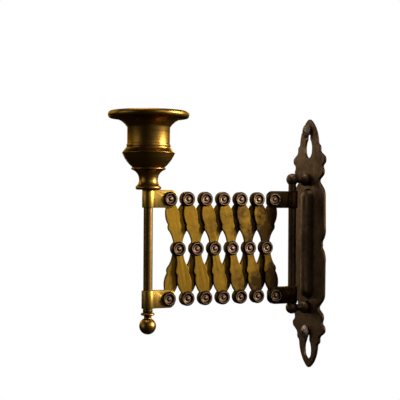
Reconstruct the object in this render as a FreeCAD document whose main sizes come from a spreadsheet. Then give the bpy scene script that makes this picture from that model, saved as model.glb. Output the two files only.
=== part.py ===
"""Candle wall sconce on a lazy-tongs arm.

A pressed wall plate carries two ball-ended posts, which hold an upright rod.
Clips on that rod carry a scissor of twelve riveted links, and two more clips
at its far end carry the front rod with the candle cup and the finial.

Frame: the origin is the centre of the plate's back face, +Z is up and the arm
reaches out along -Y. Lengths are millimetres, angles degrees.
"""
import FreeCAD, Part
import math
import os
import re
import Sketcher

CELLS = 6
STEPS = 2
NEAR = 1e-4

SIZES = {
    # wall plate, right upper quarter of the outline
    "plate_half_height": 77.0,
    "plate_thick": 1.6,
    "valley_x": 16.6,
    "valley_edge_x": 17.6,
    "valley_edge_z": 3.2,
    "flank_x": 19.8,
    "flank_low_z": 11.0,
    "shoulder_x": 19.5,
    "shoulder_z": 30.0,
    "slope_x": 17.0,
    "slope_z": 34.6,
    "waist_low_x": 13.6,
    "waist_low_z": 37.5,
    "waist_top_x": 13.6,
    "waist_top_z": 39.8,
    "lobe_low_x": 17.2,
    "lobe_low_z": 42.0,
    "lobe_top_x": 17.5,
    "lobe_top_z": 46.2,
    "knuckle_low_x": 18.6,
    "knuckle_low_z": 49.0,
    "knuckle_top_x": 18.3,
    "knuckle_top_z": 54.0,
    "ledge_foot_x": 15.2,
    "ledge_foot_z": 55.7,
    "ledge_x": 13.9,
    "ledge_low_z": 57.6,
    "ledge_top_z": 59.2,
    "leaf_low_x": 12.0,
    "leaf_low_z": 61.0,
    "leaf_x": 11.1,
    "leaf_z": 63.2,
    "tip_x": 1.5,
    "tip_z": 76.6,
    # how far each arc of an outline bows out, as a share of half its chord
    "valley_bow": 0.4,
    "flank_bow": 0.25,
    "shoulder_bow": 0.2,
    "waist_bow": 0.45,
    "lobe_bow": 0.42,
    "notch_bow": 0.5,
    "knuckle_bow": 0.66,
    "ledge_bow": 0.25,
    "leaf_bow": 0.23,
    "tip_bow": 0.12,
    # hollow rib pressed up the middle of the plate
    "rib_radius": 6.0,
    "rib_end_gap": 1.6,
    # keyholes and the two screws standing in them
    "head_play": 0.4,
    "shank_play": 0.35,
    "keyhole_rise": 12.0,
    "keyhole_taper": 5.0,
    "keyhole_taper_bow": 0.25,
    "upper_keyhole_z": 57.5,
    "lower_keyhole_z": -67.0,
    "screw_head_radius": 4.2,
    "screw_head_rim": 0.7,
    "screw_crown": 1.5,
    "screw_crown_bow": 0.18,
    "screw_shank_radius": 2.1,
    "screw_thread_step": 0.2,
    "screw_stand_off": 1.2,
    "screw_shank_past": 0.1,
    "screw_thread_length": 2.8,
    "screw_tip_length": 2.2,
    "screw_tip_radius": 0.25,
    # ball-ended posts and the upright rod between them
    "rod_stand_off": 12.6,
    "post_ball_radius": 3.75,
    "post_base_radius": 3.4,
    "post_base_bow": 0.45,
    "post_base_height": 5.0,
    "post_neck_radius": 2.1,
    "post_tail_radius": 1.6,
    "post_tail_flare": 0.7,
    "rod_seat_depth": 1.8,
    "rear_rod_radius": 2.4,
    # folded clips round the two rods
    "clip_height": 10.4,
    "clip_thick": 0.9,
    "clip_reach": 12.7,
    "clip_end": 4.0,
    "clip_corner": 2.4,
    # links and their rivets
    "link_half": 29.8,
    "link_thick": 1.8,
    "boss_radius": 4.4,
    "end_neck_x": 2.6,
    "cusp_x": 3.6,
    "cusp_z": 15.2,
    "bump_x": 3.5,
    "bump_z": 11.0,
    "middle_neck_x": 2.4,
    "link_lobe_bow": 0.22,
    "link_bump_bow": 0.32,
    "link_taper_bow": 0.12,
    "rest_angle": 11.0,
    "cell_count": CELLS,
    "rivet_radius": 1.5,
    "rivet_head_radius": 4.3,
    "rivet_head_height": 1.5,
    "rivet_tail_radius": 2.4,
    "rivet_tail_height": 0.8,
    # front rod, candle cup and finial, heights above the foot of the cup
    "front_rod_radius": 2.7,
    "tenon_shoulder": 1.0,
    "cup_tenon_length": 8.0,
    "finial_tenon_length": 2.8,
    "rod_spare": 0.7,
    "foot_radius": 7.5,
    "foot_height": 2.4,
    "stem_radius": 5.5,
    "stem_z": 6.0,
    "ridge_radius": 10.1,
    "ridge_step": 0.8,
    "ridge_low_z": 11.6,
    "ridge_top_z": 12.8,
    "belly_swell": 2.3,
    "belly_z": 21.4,
    "cup_wall": 0.95,
    "socket_seat_z": 24.4,
    "spigot_length": 4.0,
    "well_floor_z": 16.5,
    "well_ledge": 1.3,
    "socket_wall": 1.15,
    "candle_radius": 11.3,
    "spigot_wall": 0.9,
    "band_step": 0.4,
    "band_height": 2.2,
    "flare_z": 36.0,
    "pan_reach": 11.25,
    "pan_low_z": 41.6,
    "pan_lip_height": 3.65,
    "pan_wall": 1.3,
    "foot_bow": 0.7,
    "stem_bow": 0.2,
    "ogee_bow": 0.3,
    "belly_bow": 0.13,
    "flare_bow": 0.28,
    "rim_bow": 0.5,
    "collar_wall": 1.2,
    "collar_height": 1.7,
    "disc_radius": 4.2,
    "disc_height": 1.5,
    "finial_neck_radius": 2.2,
    "finial_neck_height": 1.8,
    "finial_ball_radius": 4.9,
    # clearances
    "pivot_play": 0.05,
    "layer_gap": 0.05,
    "seat_play": 0.02,
    "clip_rest_gap": 0.08,
    "rod_free": 4.34,
    "cup_rest_gap": 0.05,
}

DERIVED = {
    "post_height": "row_height + ball_cap + (clip_height + clip_rest_gap + rod_free) / 2",
    "rib_half_length": "post_height - post_base_radius - rib_end_gap",
    "keyhole_radius": "screw_head_radius + head_play",
    "keyhole_slot_half": "screw_shank_radius + shank_play",
    "screw_thread_radius": "screw_shank_radius - screw_thread_step",
    "cell_pitch": "2 * link_half * sin(rest_angle)",
    "row_height": "link_half * cos(rest_angle)",
    "clip_bore": "rear_rod_radius + pivot_play",
    "ball_cap": "sqrt(post_ball_radius ^ 2 - clip_bore ^ 2)",
    "arm_z": "clip_height / 2 + clip_rest_gap + ball_cap - post_height + row_height",
    "first_pivot_y": "-(rod_stand_off + clip_reach)",
    "front_rod_y": "first_pivot_y - cell_count * cell_pitch - clip_reach",
    "layer_far": "layer_gap + link_thick",
    "leaf_near": "layer_far + layer_gap",
    "leaf_far": "leaf_near + clip_thick",
    "foot_z": "arm_z + row_height + clip_height / 2 + cup_rest_gap",
    "collar_z": "arm_z - row_height - clip_height / 2 - rod_spare",
    "post_neck_end": "rod_stand_off - sqrt(post_ball_radius ^ 2 - post_neck_radius ^ 2)",
    "boss_low_z": "link_half - sqrt(boss_radius ^ 2 - end_neck_x ^ 2)",
    "middle_neck_z": "sqrt(boss_radius ^ 2 - middle_neck_x ^ 2)",
    "pan_rim_z": "pan_low_z + pan_lip_height",
    "spigot_radius": "candle_radius + spigot_wall",
    "socket_radius": "candle_radius + socket_wall",
    "well_radius": "candle_radius - well_ledge",
    "cup_shoulder_radius": "spigot_radius + cup_wall",
    "belly_radius": "cup_shoulder_radius + belly_swell",
    "foot_edge_radius": "foot_radius - foot_bow * foot_height / 2",
    "pan_edge_radius": "socket_radius + pan_reach - rim_bow * pan_lip_height / 2",
    "band_radius": "socket_radius + band_step",
    "tenon_radius": "front_rod_radius - tenon_shoulder",
    "collar_radius": "tenon_radius + collar_wall",
    "spigot_low_z": "socket_seat_z - spigot_length",
    "pan_floor_z": "pan_low_z + pan_wall",
    "tenon_hole": "tenon_radius + seat_play",
    "front_rod_length": "foot_z - collar_z",
    "disc_drop": "collar_height + disc_height",
    "ball_neck_drop": "disc_drop + finial_neck_height",
    "ball_drop": "ball_neck_drop + sqrt(finial_ball_radius ^ 2 - finial_neck_radius ^ 2)",
}

document = FreeCAD.newDocument("Sconce")
sheet = document.addObject("Spreadsheet::Sheet", "Sizes")


def fill_sheet():
    """Put each driving dimension in a cell with its name as the alias."""
    for row, (name, number) in enumerate(SIZES.items(), start=1):
        sheet.set(f"A{row}", name)
        sheet.set(f"B{row}", str(number))
        sheet.setAlias(f"B{row}", name)
    document.recompute()


def bind(text):
    """Turn plain words for sizes into references to the sheet's cells."""
    def reference(match):
        word = match.group(0)
        if word in SIZES:
            return f"Sizes.{word}"
        if word in DERIVED:
            return f"({bind(DERIVED[word])})"
        return word
    return re.sub(r"[a-z_]+", reference, text)


def value(text):
    """The number that an expression in plain words comes to."""
    return float(sheet.evalExpression(bind(text)))


def point(x, y, z="0"):
    """A vector from three expressions."""
    return FreeCAD.Vector(value(x), value(y), value(z))


def new_body(label):
    """An empty body whose label names the sub-part."""
    body = document.addObject("PartDesign::Body", label)
    body.Label = label
    return body


def origin_plane(body, role):
    """One of the three planes of the body's own origin."""
    return next(item for item in body.Origin.OriginFeatures if item.Role == role)


def new_sketch(body, name, plane):
    """A sketch on one of the body's own origin planes."""
    sketch = body.newObject("Sketcher::SketchObject", f"{body.Name}_{name}")
    sketch.AttachmentSupport = (origin_plane(body, plane), "")
    sketch.MapMode = "FlatFace"
    return sketch


def bow_radius(start, end, bow):
    """Expression for the radius of an arc that bows out from its chord."""
    run = f"(({end[0]}) - ({start[0]})) ^ 2"
    rise = f"(({end[1]}) - ({start[1]})) ^ 2"
    return f"sqrt({run} + {rise}) / 2 * (1 + ({bow}) ^ 2) / (2 * ({bow}))"


def stepped(start, end, radius, left, steps):
    """Corners of equal straight steps along an arc of under a half turn.

    The arc goes from start to end and bends left or right.
    """
    half_x, half_y = (f"(({to}) - ({at})) / 2" for at, to in zip(start, end))
    spread = f"asin(sqrt(({half_x}) ^ 2 + ({half_y}) ^ 2) / ({radius}))"
    corners = []
    for step in range(1, steps):
        turn = f"{spread} * {2 * step / steps - 1}"
        along = f"(1 + sin({turn}) / sin({spread}))"
        out = f"((cos({turn}) - cos({spread})) / sin({spread}))"
        sign = "" if left else "-"
        x = f"({start[0]}) + ({half_x}) * {along} + {sign}({half_y}) * {out}"
        y = f"({start[1]}) + ({half_y}) * {along} - {sign}({half_x}) * {out}"
        corners.append((x, y))
    return corners + [end]


def arc_to(before, corner):
    """End, radius and left bend of what leads to a corner; a line has no radius."""
    end = corner[:2]
    if len(corner) == 2:
        return end, None, False
    bend, size = corner[2:]
    radius = bow_radius(before, corner, size) if bend in ("bulge", "hollow") else size
    return end, radius, bend in ("bulge", "left")


def short_arc(start, end, radius, left):
    """The arc of under a half turn from start to end, bending left or right."""
    chord = end - start
    half = chord.Length / 2
    side = FreeCAD.Vector(-chord.y, chord.x, 0).normalize()
    reach = math.sqrt(max(radius ** 2 - half ** 2, 0))
    centre = (start + end) / 2 + side * (reach if left else -reach)
    first, last = (start, end) if left else (end, start)
    begin = math.atan2(first.y - centre.y, first.x - centre.x)
    finish = math.atan2(last.y - centre.y, last.x - centre.x)
    circle = Part.Circle(centre, FreeCAD.Vector(0, 0, 1), radius)
    return Part.ArcOfCircle(circle, begin, finish if finish > begin else finish + 2 * math.pi)


class Profile:
    """Closed loops of one sketch, drawn and then held by bound constraints."""

    def __init__(self, body, name, plane):
        self.sketch = new_sketch(body, name, plane)
        self.constraints = []
        self.bindings = []

    def hold(self, kind, *where, text):
        """Add a constraint whose value follows an expression."""
        self.bindings.append((len(self.constraints), bind(text)))
        self.constraints.append(Sketcher.Constraint(kind, *where, value(text)))

    def pin(self, geometry, spot, x, y):
        """Fix one point of the sketch at two expressions from the origin."""
        for kind, axis, text in (("DistanceX", -2, x), ("DistanceY", -1, y)):
            if text == "0":
                self.constraints.append(Sketcher.Constraint("PointOnObject", geometry, spot, axis))
            else:
                self.hold(kind, -1, 1, geometry, spot, text=text)

    def circle(self, x, y, radius):
        """Add a full circle."""
        shape = Part.Circle(point(x, y), FreeCAD.Vector(0, 0, 1), value(radius))
        index = self.sketch.addGeometry(shape)
        self.hold("Radius", index, text=radius)
        self.pin(index, 3, x, y)
        return self

    def loop(self, corners, steps=1):
        """Add an anticlockwise loop.

        A corner is (x, y) where a line leads to it. An arc that leads to it adds
        how it bends and a size: "bulge" and "hollow" take a bow, and "left" and
        "right" take a radius. With two steps or more, each arc is made of that
        many straight ones, which keeps the faces of a turned or repeated piece few.
        """
        arcs = [arc_to(corners[index - 1], corner) for index, corner in enumerate(corners)]
        if steps > 1:
            arcs = [(end, None, False) for arc, before in zip(arcs, corners[-1:] + corners)
                    for end in (stepped(before[:2], *arc, steps) if arc[1] else [arc[0]])]
        spots = []
        for index, (corner, radius, left) in enumerate(arcs):
            start, end = point(*arcs[index - 1][0]), point(*corner)
            if radius is None:
                spots.append((self.sketch.addGeometry(Part.LineSegment(start, end)), 1, 2))
                continue
            geometry = self.sketch.addGeometry(short_arc(start, end, value(radius), left))
            spots.append((geometry, 1, 2) if left else (geometry, 2, 1))
            self.hold("Radius", geometry, text=radius)
        for index, (geometry, _, last) in enumerate(spots):
            following, first, _ = spots[(index + 1) % len(spots)]
            self.constraints.append(Sketcher.Constraint("Coincident", geometry, last, following, first))
            self.pin(geometry, last, *arcs[index][0])
        return self

    def done(self):
        """Apply the constraints, bind their values and hand over the sketch."""
        self.sketch.addConstraint(self.constraints)
        for index, text in self.bindings:
            self.sketch.setExpression(f"Constraints[{index}]", text)
        document.recompute()
        return self.sketch


def feature(body, kind, name, sketch, **lengths):
    """Add a sketch-based feature with its sizes bound."""
    item = body.newObject(f"PartDesign::{kind}", f"{body.Name}_{name}")
    item.Profile = sketch
    for key, text in lengths.items():
        item.setExpression(key, bind(text))
    return item


def pad(body, name, sketch, length):
    """Raise a sketch into a solid along its normal."""
    item = feature(body, "Pad", name, sketch, Length=length)
    document.recompute()
    return item


def cut(body, name, sketch, side="Symmetric", reverse=False):
    """Cut a sketch through all of the solid, and see that it took something away."""
    before = body.Shape.Volume
    item = feature(body, "Pocket", name, sketch)
    item.Type = "ThroughAll"
    item.SideType = side
    item.Reversed = reverse
    document.recompute()
    if body.Shape.Volume >= before:
        raise RuntimeError(f"{item.Name} cuts nothing")
    return item


def spin(body, name, sketch, kind="Revolution", angle="360", reverse=False):
    """Turn a sketch about its own upright axis, to add or to take away."""
    item = feature(body, kind, name, sketch, Angle=angle)
    item.ReferenceAxis = (sketch, ["V_Axis"])
    item.Reversed = reverse
    document.recompute()
    return item


def edges_where(item, test):
    """Names of a feature's edges for which a test holds."""
    return [f"Edge{n}" for n, edge in enumerate(item.Shape.Edges, start=1) if test(edge)]


def soften(body, kind, name, base, edges, **size):
    """Chamfer or fillet some edges of the body's last feature."""
    item = body.newObject(f"PartDesign::{kind}", f"{body.Name}_{name}")
    item.Base = (base, edges)
    for key, text in size.items():
        item.setExpression(key, bind(text))
    document.recompute()
    return item


def flat_at(edge, axis, level):
    """Whether all of an edge lies at one level along an axis."""
    low, high = (getattr(edge.BoundBox, axis + end) for end in ("Min", "Max"))
    return abs(low - level) < NEAR and abs(high - level) < NEAR


def axis_vector(name):
    """Unit vector of an axis named X, -X, Y, -Y, Z or -Z."""
    sign = -1 if name.startswith("-") else 1
    return FreeCAD.Vector(*(sign if letter == name[-1] else 0 for letter in "XYZ"))


def place(item, base, x_axis="X", z_axis="Z"):
    """Set a sub-part down with its own X and Z axes along two of the frame's."""
    z_vector, x_vector = axis_vector(z_axis), axis_vector(x_axis)
    item.Placement.Rotation = FreeCAD.Rotation(x_vector, z_vector.cross(x_vector), z_vector, "ZXY")
    for axis, text in zip("xyz", base):
        item.setExpression(f"Placement.Base.{axis}", bind(text))
    return item


def turned(label, corners, steps=STEPS):
    """A body of revolution about its own Z axis, from corners (radius, height)."""
    body = new_body(label)
    spin(body, "turned", Profile(body, "profile", "XZ_Plane").loop(corners, steps).done())
    return body


def group(label, members):
    """One sub-part of several separate solids."""
    compound = document.addObject("Part::Compound", label)
    compound.Label = label
    compound.Links = members


def mirrored(body, plane):
    """Mirror the whole body in one of its own origin planes."""
    item = body.newObject("PartDesign::Mirrored", f"{body.Name}_mirror_{plane}")
    item.TransformMode = "Whole shape"
    item.MirrorPlane = (origin_plane(body, plane), [""])
    body.Tip = item
    document.recompute()
    return item


def make_plate():
    """Pressed wall plate with its scrolled outline, hollow rib and keyholes."""
    body = new_body("wall_plate")
    quarter = Profile(body, "outline", "XZ_Plane").loop([
        ("0", "0"),
        ("valley_x", "0"),
        ("valley_edge_x", "valley_edge_z", "hollow", "valley_bow"),
        ("flank_x", "flank_low_z", "bulge", "flank_bow"),
        ("shoulder_x", "shoulder_z"),
        ("slope_x", "slope_z", "bulge", "shoulder_bow"),
        ("waist_low_x", "waist_low_z"),
        ("waist_top_x", "waist_top_z", "hollow", "waist_bow"),
        ("lobe_low_x", "lobe_low_z"),
        ("lobe_top_x", "lobe_top_z", "bulge", "lobe_bow"),
        ("knuckle_low_x", "knuckle_low_z", "hollow", "notch_bow"),
        ("knuckle_top_x", "knuckle_top_z", "bulge", "knuckle_bow"),
        ("ledge_foot_x", "ledge_foot_z"),
        ("ledge_x", "ledge_low_z", "hollow", "ledge_bow"),
        ("ledge_x", "ledge_top_z"),
        ("leaf_low_x", "leaf_low_z", "bulge", "ledge_bow"),
        ("leaf_x", "leaf_z", "hollow", "ledge_bow"),
        ("tip_x", "tip_z", "bulge", "leaf_bow"),
        ("0", "plate_half_height", "bulge", "tip_bow"),
    ])
    pad(body, "blank", quarter.done(), "plate_thick")
    mirrored(body, "XY_Plane")
    mirrored(body, "YZ_Plane")
    outside = rib_profile(body, "rib_outside", "rib_radius", "rib_half_length")
    spin(body, "rib", outside, angle="180", reverse=True)
    inside = rib_profile(body, "rib_inside", "rib_radius - plate_thick", "rib_half_length - plate_thick")
    spin(body, "rib_hollow", inside, kind="Groove", angle="180", reverse=True)
    for name in ("upper", "lower"):
        slot = Profile(body, f"{name}_keyhole", "XZ_Plane").loop(keyhole(f"{name}_keyhole_z"))
        cut(body, f"{name}_keyhole_cut", slot.done())
    tails = Profile(body, "post_tails", "XZ_Plane")
    for level in ("post_height", "-post_height"):
        tails.circle("0", level, "post_tail_radius + seat_play")
    holes = cut(body, "post_holes", tails.done())
    rims = edges_where(holes, is_tail_rim)
    soften(body, "Chamfer", "post_flares", holes, rims, Size="post_tail_flare")


def is_tail_rim(edge):
    """Whether an edge is the rim of a post's hole on the plate's back face."""
    rim = 2 * math.pi * value("post_tail_radius + seat_play")
    return flat_at(edge, "Y", 0) and abs(edge.Length - rim) < NEAR


def rib_profile(body, name, radius, half_length):
    """Half of a round-ended bar, to be turned about the plate's middle line."""
    straight = f"{half_length} - ({radius})"
    return Profile(body, name, "XZ_Plane").loop([
        ("0", f"-({half_length})"),
        (radius, f"-({straight})", "left", radius),
        (radius, straight),
        ("0", half_length, "left", radius),
    ], STEPS).done()


def keyhole(centre):
    """Corners of a keyhole: a round hole drawn up into a narrow slot."""
    slot_z = f"{centre} + keyhole_rise"
    taper_z = f"{slot_z} - keyhole_taper"
    return [
        ("0", f"{centre} - keyhole_radius", "left", "keyhole_radius"),
        ("keyhole_radius", centre, "left", "keyhole_radius"),
        ("keyhole_slot_half", taper_z, "bulge", "keyhole_taper_bow"),
        ("keyhole_slot_half", slot_z),
        ("0", f"{slot_z} + keyhole_slot_half", "left", "keyhole_slot_half"),
        ("-keyhole_slot_half", slot_z, "left", "keyhole_slot_half"),
        ("-keyhole_slot_half", taper_z),
        ("-keyhole_radius", centre, "bulge", "keyhole_taper_bow"),
    ]


def make_screws():
    """Two round-head screws that stand a little proud in the keyholes' slots."""
    head_z = "plate_thick + screw_stand_off"
    crown_z = f"{head_z} + screw_head_rim"
    thread_z = "-(screw_shank_past + screw_thread_length)"
    tip_z = f"{thread_z} - screw_tip_length"
    corners = [
        ("0", tip_z),
        ("screw_tip_radius", tip_z),
        ("screw_thread_radius", thread_z),
        ("screw_thread_radius", "-screw_shank_past"),
        ("screw_shank_radius", "-screw_shank_past"),
        ("screw_shank_radius", head_z),
        ("screw_head_radius", head_z),
        ("screw_head_radius", crown_z),
        ("0", f"{crown_z} + screw_crown", "bulge", "screw_crown_bow"),
    ]
    screws = []
    for name in ("upper", "lower"):
        screw = turned(f"{name}_screw", corners)
        screws.append(place(screw, ("0", "0", f"{name}_keyhole_z + keyhole_rise"), "X", "-Y"))
    group("mounting_screws", screws)


def make_post(label, level, x_axis):
    """Turned post: a tail riveted in the plate, a domed base, a neck and a ball."""
    body = turned(label, [
        ("0", "0"),
        ("post_tail_radius + post_tail_flare", "0"),
        ("post_tail_radius", "post_tail_flare"),
        ("post_tail_radius", "plate_thick"),
        ("post_base_radius", "plate_thick"),
        ("post_neck_radius", "plate_thick + post_base_height", "bulge", "post_base_bow"),
        ("post_neck_radius", "post_neck_end"),
        ("post_ball_radius", "rod_stand_off", "left", "post_ball_radius"),
        ("0", "rod_stand_off + post_ball_radius", "left", "post_ball_radius"),
    ])
    seat = Profile(body, "rod_seat", "XZ_Plane")
    seat = seat.circle("0", "rod_stand_off", "rear_rod_radius + seat_play").done()
    seat.setExpression("AttachmentOffset.Base.z", bind("-(rod_seat_depth + seat_play)"))
    cut(body, "rod_hole", seat, side="One side", reverse=True)
    place(body, ("0", "0", level), x_axis, "-Y")


def make_rear_rod():
    """Upright rod whose ends sit in the balls of the posts."""
    end = "post_height + rod_seat_depth"
    body = turned("rear_rod", [
        ("0", f"-({end})"),
        ("rear_rod_radius", f"-({end})"),
        ("rear_rod_radius", end),
        ("0", end),
    ])
    place(body, ("0", "-rod_stand_off", "0"))


def make_clip(label, rod_radius, base, x_axis, z_axis):
    """Strip folded round a rod, its two leaves on either side of a link's end.

    Its own X axis runs from the rod to the pivot and its Z axis along the rod.
    """
    bore = f"({rod_radius} + pivot_play)"
    outer = f"({rod_radius} + pivot_play + clip_thick)"
    end = "clip_reach + clip_end"
    body = new_body(label)
    strip = Profile(body, "strip", "XY_Plane").loop([
        (end, "leaf_near"),
        (end, "leaf_far"),
        (f"sqrt({outer} ^ 2 - leaf_far ^ 2)", "leaf_far"),
        (f"-{outer}", "0", "left", outer),
        ("0", f"-{outer}", "left", outer),
        (f"sqrt({outer} ^ 2 - clip_thick ^ 2)", "-clip_thick", "left", outer),
        (end, "-clip_thick"),
        (end, "0"),
        (bore, "0"),
        ("0", f"-{bore}", "right", bore),
        (f"-{bore}", "0", "right", bore),
        ("0", bore, "right", bore),
        (f"sqrt({bore} ^ 2 - leaf_near ^ 2)", "leaf_near", "right", bore),
    ]).done()
    folded = pad(body, "folded", strip, "clip_height")
    folded.Midplane = True
    document.recompute()
    tips = edges_where(folded, lambda edge: flat_at(edge, "X", value(end)) and not is_upright(edge))
    soften(body, "Chamfer", "corners", folded, tips, Size="clip_corner")
    hole = Profile(body, "pivot", "XZ_Plane").circle("clip_reach", "0", "rivet_radius + seat_play")
    cut(body, "pivot_hole", hole.done())
    place(body, base, x_axis, z_axis)


def is_upright(edge):
    """Whether an edge runs along the Z axis."""
    return edge.BoundBox.ZLength > NEAR


def make_link(label, x, y, turn_axis):
    """Flat link with three bosses and a pair of cusped lobes between each two."""
    body = new_body(label)
    quarter = Profile(body, "outline", "YZ_Plane").loop([
        ("0", "0"),
        ("boss_radius", "0"),
        ("middle_neck_x", "middle_neck_z", "left", "boss_radius"),
        ("bump_x", "bump_z", "hollow", "link_taper_bow"),
        ("cusp_x", "cusp_z", "bulge", "link_bump_bow"),
        ("end_neck_x", "boss_low_z", "bulge", "link_lobe_bow"),
        ("boss_radius", "link_half", "left", "boss_radius"),
        ("0", "link_half + boss_radius", "left", "boss_radius"),
    ], STEPS)
    pad(body, "blank", quarter.done(), "link_thick")
    mirrored(body, "XY_Plane")
    mirrored(body, "XZ_Plane")
    holes = Profile(body, "pivots", "YZ_Plane")
    for level in ("-link_half", "0", "link_half"):
        holes.circle("0", level, "rivet_radius + pivot_play")
    cut(body, "pivot_holes", holes.done())
    place(body, (x, y, "arm_z"))
    body.Placement.Rotation = FreeCAD.Rotation(axis_vector(turn_axis), value("rest_angle"))
    body.setExpression("Placement.Rotation.Angle", bind("rest_angle"))


def make_rivet(label, seat_x, y, z, grip):
    """Rivet with a flat round head in front and a peened tail behind."""
    tail_z = f"-({grip} + rivet_tail_height)"
    body = turned(label, [
        ("0", tail_z),
        ("rivet_tail_radius", tail_z),
        ("rivet_tail_radius", f"-({grip})"),
        ("rivet_radius", f"-({grip})"),
        ("rivet_radius", "0"),
        ("rivet_head_radius", "0"),
        ("rivet_head_radius", "rivet_head_height"),
        ("0", "rivet_head_height"),
    ])
    return place(body, (seat_x, y, z), "-Z", "X")


def make_scissor():
    """Six crossed pairs of links and the rivets that the front links carry."""
    for cell in range(CELLS):
        middle_y = f"first_pivot_y - {cell} * cell_pitch - cell_pitch / 2"
        make_link(f"front_link_{cell + 1}", "layer_gap", middle_y, "X")
        make_link(f"rear_link_{cell + 1}", "-layer_far", middle_y, "-X")
        spots = [("middle", middle_y, "arm_z")]
        if cell > 0:
            spots.append(("bottom", f"{middle_y} + cell_pitch / 2", "arm_z - row_height"))
        if cell < CELLS - 1:
            spots.append(("top", f"{middle_y} - cell_pitch / 2", "arm_z + row_height"))
        rivets = [
            make_rivet(f"rivet_{name}_{cell + 1}", "layer_far", y, z, "2 * layer_far + layer_gap")
            for name, y, z in spots
        ]
        group(f"link_rivets_{cell + 1}", rivets)


def make_clips():
    """Four clips with a rivet each: two on the rear rod, two on the front rod."""
    rear, front = "-rod_stand_off", "front_rod_y"
    far_pivot = "first_pivot_y - cell_count * cell_pitch"
    top, bottom = "arm_z + row_height", "arm_z - row_height"
    clips = [
        ("rear_lower_clip", "rear_rod_radius", rear, "first_pivot_y", bottom, "leaf_far", "-Y", "Z"),
        ("rear_upper_clip", "rear_rod_radius", rear, "first_pivot_y", top, "clip_thick", "-Y", "-Z"),
        ("front_upper_clip", "front_rod_radius", front, far_pivot, top, "leaf_far", "Y", "-Z"),
        ("front_lower_clip", "front_rod_radius", front, far_pivot, bottom, "clip_thick", "Y", "Z"),
    ]
    for label, rod_radius, rod_y, pivot_y, level, seat_x, x_axis, z_axis in clips:
        make_clip(label, rod_radius, ("0", rod_y, level), x_axis, z_axis)
        make_rivet(f"{label}_rivet", seat_x, pivot_y, level, "leaf_far + clip_thick")


def make_front_rod():
    """Rod that carries the cup, with a tenon at each end."""
    low = "-front_rod_length"
    body = turned("front_rod", [
        ("0", f"{low} - finial_tenon_length"),
        ("tenon_radius", f"{low} - finial_tenon_length"),
        ("tenon_radius", low),
        ("front_rod_radius", low),
        ("front_rod_radius", "0"),
        ("tenon_radius", "0"),
        ("tenon_radius", "cup_tenon_length"),
        ("0", "cup_tenon_length"),
    ])
    place(body, ("0", "front_rod_y", "foot_z"))


def make_cup_base():
    """Turned lower half of the cup: foot ring, stem, ridge, belly and well."""
    spigot_hole = "spigot_radius + seat_play"
    hole_top = "cup_tenon_length + seat_play"
    body = turned("cup_base", [
        ("tenon_hole", "0"),
        ("foot_edge_radius", "0"),
        ("foot_edge_radius", "foot_height", "bulge", "foot_bow"),
        ("stem_radius", "stem_z", "hollow", "stem_bow"),
        ("ridge_radius - ridge_step", "ridge_low_z", "hollow", "ogee_bow"),
        ("ridge_radius", "ridge_low_z"),
        ("ridge_radius", "ridge_top_z"),
        ("ridge_radius - ridge_step", "ridge_top_z"),
        ("belly_radius", "belly_z", "bulge", "belly_bow"),
        ("cup_shoulder_radius", "socket_seat_z"),
        (spigot_hole, "socket_seat_z"),
        (spigot_hole, "spigot_low_z - seat_play"),
        ("well_radius", "spigot_low_z - seat_play"),
        ("well_radius", "well_floor_z"),
        ("0", "well_floor_z"),
        ("0", hole_top),
        ("tenon_hole", hole_top),
    ])
    place(body, ("0", "front_rod_y", "foot_z"))


def make_candle_socket():
    """Turned upper half of the cup: spigot, band, socket tube and drip pan."""
    body = turned("candle_socket", [
        ("candle_radius", "spigot_low_z"),
        ("spigot_radius", "spigot_low_z"),
        ("spigot_radius", "socket_seat_z"),
        ("band_radius", "socket_seat_z"),
        ("band_radius", "socket_seat_z + band_height"),
        ("socket_radius", "socket_seat_z + band_height"),
        ("socket_radius", "flare_z"),
        ("pan_edge_radius", "pan_low_z", "hollow", "flare_bow"),
        ("pan_edge_radius", "pan_rim_z", "bulge", "rim_bow"),
        ("pan_edge_radius - pan_wall", "pan_rim_z"),
        ("pan_edge_radius - pan_wall", "pan_floor_z"),
        ("candle_radius", "pan_floor_z"),
    ])
    place(body, ("0", "front_rod_y", "foot_z"))


def make_finial():
    """Turned finial below the front rod: collar, disc, neck and ball."""
    hole_low = "-(finial_tenon_length + seat_play)"
    body = turned("rod_finial", [
        ("0", "-(ball_drop + finial_ball_radius)"),
        ("finial_ball_radius", "-ball_drop", "left", "finial_ball_radius"),
        ("finial_neck_radius", "-ball_neck_drop", "left", "finial_ball_radius"),
        ("finial_neck_radius", "-disc_drop"),
        ("disc_radius", "-disc_drop"),
        ("disc_radius", "-collar_height"),
        ("collar_radius", "-collar_height"),
        ("collar_radius", "0"),
        ("tenon_hole", "0"),
        ("tenon_hole", hole_low),
        ("0", hole_low),
    ])
    place(body, ("0", "front_rod_y", "collar_z"))


def write_parts():
    """Test every object and shape, then write each sub-part to its own file."""
    document.recompute()
    for item in document.Objects:
        if {"Invalid", "Error"} & set(item.State):
            raise RuntimeError(f"{item.Label} failed: {item.State}")
    members = {member.Name for item in document.Objects
               if item.TypeId == "Part::Compound" for member in item.Links}
    parts = [item for item in document.Objects
             if item.TypeId in ("PartDesign::Body", "Part::Compound") and item.Name not in members]
    for item in parts:
        if item.Shape.isNull() or not item.Shape.isValid():
            raise RuntimeError(f"{item.Label} has no sound shape")
    os.makedirs("parts", exist_ok=True)
    for item in parts:
        item.Shape.exportStep(f"parts/{item.Label}.step")
        print(f"{item.Label}: {len(item.Shape.Solids)} solid(s), {item.Shape.Volume:.1f} mm3")


def main():
    """Build every sub-part, test it and write it out."""
    fill_sheet()
    make_plate()
    make_screws()
    make_post("upper_post", "post_height", "X")
    make_post("lower_post", "-post_height", "-X")
    make_rear_rod()
    make_scissor()
    make_clips()
    make_front_rod()
    make_cup_base()
    make_candle_socket()
    make_finial()
    write_parts()


main()
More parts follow.
